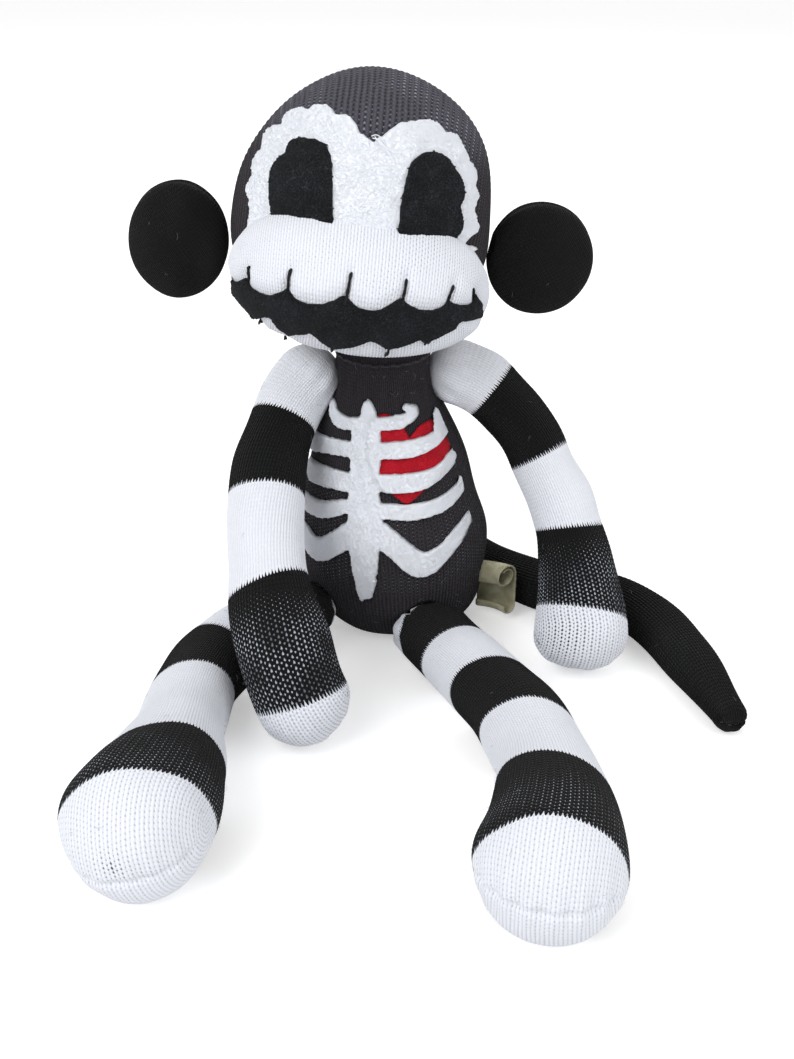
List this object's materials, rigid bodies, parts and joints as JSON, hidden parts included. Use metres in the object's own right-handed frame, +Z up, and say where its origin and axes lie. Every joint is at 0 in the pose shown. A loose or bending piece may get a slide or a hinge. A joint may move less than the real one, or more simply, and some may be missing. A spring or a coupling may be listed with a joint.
{
  "type": "plush monkey",
  "caption": "Seated stuffed sock monkey with a round head, side ears, stuffed muzzle, long limbs and a tail, decorated with felt.",
  "frame": {"origin": "centre of the flat seat under the body, on the surface the toy sits on", "axes": "+Z up, the head and the feet face -Y, the toy's own left is +X"},
  "size_m": [0.2227, 0.2389, 0.2099],
  "materials": {
    "charcoal_knit": "fine charcoal sock knit, matt",
    "white_knit": "fine white sock knit, matt",
    "striped_knit": "fine sock knit in wide white and black bands, matt",
    "black_knit": "fine black sock knit, matt",
    "white_felt": "white craft felt, fuzzy",
    "black_felt": "black craft felt, fuzzy",
    "red_felt": "red craft felt, fuzzy",
    "black_thread": "black sewing thread",
    "charcoal_thread": "dark grey sewing thread",
    "ribbon": "cream and olive woven ribbon, satin",
    "stuffing": "loose polyester fibre filling"
  },
  "bodies": {
    "torso": {"body_cover": "charcoal_knit", "body_stuffing": "stuffing", "heart": "red_felt", "ribcage": "white_felt", "side_tag": "ribbon"},
    "neck": {"neck_stitching": "charcoal_thread"},
    "head": {"head_cover": "charcoal_knit", "head_stuffing": "stuffing", "muzzle_cover": "white_knit", "muzzle_stuffing": "stuffing", "eye_mask": "white_felt", "right_eye": "black_felt", "left_eye": "black_felt", "mouth": "black_felt", "tooth_stitch_1": "black_thread", "tooth_stitch_2": "black_thread", "tooth_stitch_3": "black_thread", "tooth_stitch_4": "black_thread", "tooth_stitch_5": "black_thread", "tooth_stitch_6": "black_thread"},
    "right_ear": {"right_ear_cover": "black_knit", "right_ear_stuffing": "stuffing"},
    "left_ear": {"left_ear_cover": "black_knit", "left_ear_stuffing": "stuffing"},
    "right_arm": {"right_arm_cover": "striped_knit", "right_arm_stuffing": "stuffing"},
    "left_arm": {"left_arm_cover": "striped_knit", "left_arm_stuffing": "stuffing"},
    "right_leg": {"right_leg_cover": "striped_knit", "right_leg_stuffing": "stuffing"},
    "left_leg": {"left_leg_cover": "striped_knit", "left_leg_stuffing": "stuffing"},
    "tail": {"tail_cover": "black_knit", "tail_stuffing": "stuffing"}
  },
  "joints": [
    {"name": "neck_turn", "type": "hinge", "parent": "torso", "child": "neck", "pos_m": [-0.005, -0.002, 0.106], "axis": [0, 0, 1], "range_deg": [-60, 60]},
    {"name": "neck_nod", "type": "hinge", "parent": "neck", "child": "head", "pos_m": [-0.005, -0.002, 0.106], "axis": [-1, 0, 0], "range_deg": [-5, 10]},
    {"name": "right_ear_fold", "type": "hinge", "parent": "head", "child": "right_ear", "pos_m": [-0.06022, -0.006, 0.15081], "axis": [0.1045, 0, 0.9945], "range_deg": [-25, 25]},
    {"name": "left_ear_fold", "type": "hinge", "parent": "head", "child": "left_ear", "pos_m": [0.03265, -0.006, 0.14642], "axis": [0.1045, 0, 0.9945], "range_deg": [-25, 25]},
    {"name": "right_arm_swing", "type": "hinge", "parent": "torso", "child": "right_arm", "pos_m": [-0.0326, -0.001, 0.099], "axis": [-1, 0, 0], "range_deg": [0, 45]},
    {"name": "left_arm_swing", "type": "hinge", "parent": "torso", "child": "left_arm", "pos_m": [0.0226, -0.001, 0.101], "axis": [-1, 0, 0], "range_deg": [-3, 60]},
    {"name": "right_leg_swing", "type": "hinge", "parent": "torso", "child": "right_leg", "pos_m": [-0.0358, -0.0234, 0.0126], "axis": [0, 0, -1], "range_deg": [0, 20]},
    {"name": "left_leg_swing", "type": "hinge", "parent": "torso", "child": "left_leg", "pos_m": [0.0126, -0.0392, 0.0126], "axis": [0.9763, 0.2164, 0], "range_deg": [-45, 0]},
    {"name": "tail_wag", "type": "hinge", "parent": "torso", "child": "tail", "pos_m": [0.0275, 0.0275, 0.01], "axis": [0, 0, 1], "range_deg": [0, 40]}
  ]
}
